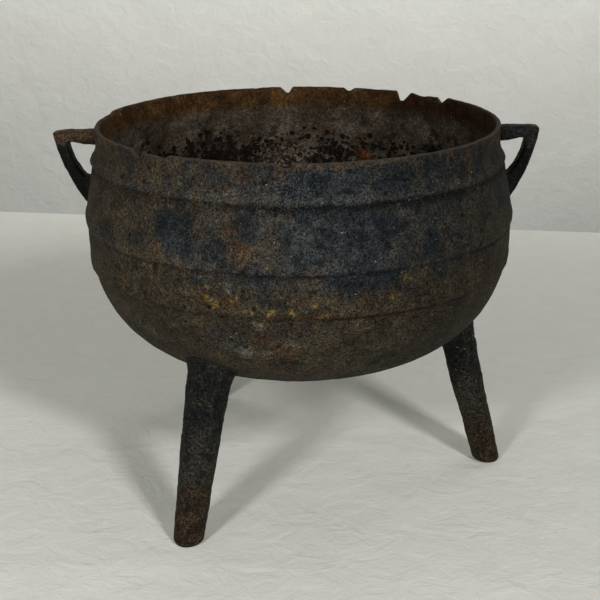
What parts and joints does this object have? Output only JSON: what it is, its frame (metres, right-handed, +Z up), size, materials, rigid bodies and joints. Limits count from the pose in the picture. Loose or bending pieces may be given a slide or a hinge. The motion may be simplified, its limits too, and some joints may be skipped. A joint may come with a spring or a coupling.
{
  "type": "three-legged cast-iron pot",
  "caption": "Round-bottomed cast-iron pot, open at the top, banded outside, on splayed round legs, with an angular loop ear on each side of the rim.",
  "frame": {"origin": "on the floor, under the axis of the bowl", "axes": "+Z up along the bowl's axis; the two ears lie on the X axis, ear_right and leg_right on +X; the front faces -Y"},
  "size_m": [0.396, 0.3534, 0.308],
  "materials": {
    "bowl_iron": "sooty sand-cast iron, rusted and pitted",
    "ear_iron": "sooty sand-cast iron, worn on its edges",
    "leg_iron": "blackened sand-cast iron, rusty towards the foot"
  },
  "bodies": {
    "root": {"bowl": "bowl_iron", "ear_left": "ear_iron", "ear_right": "ear_iron", "leg_right": "leg_iron", "leg_front_left": "leg_iron", "leg_back_left": "leg_iron"}
  },
  "joints": []
}
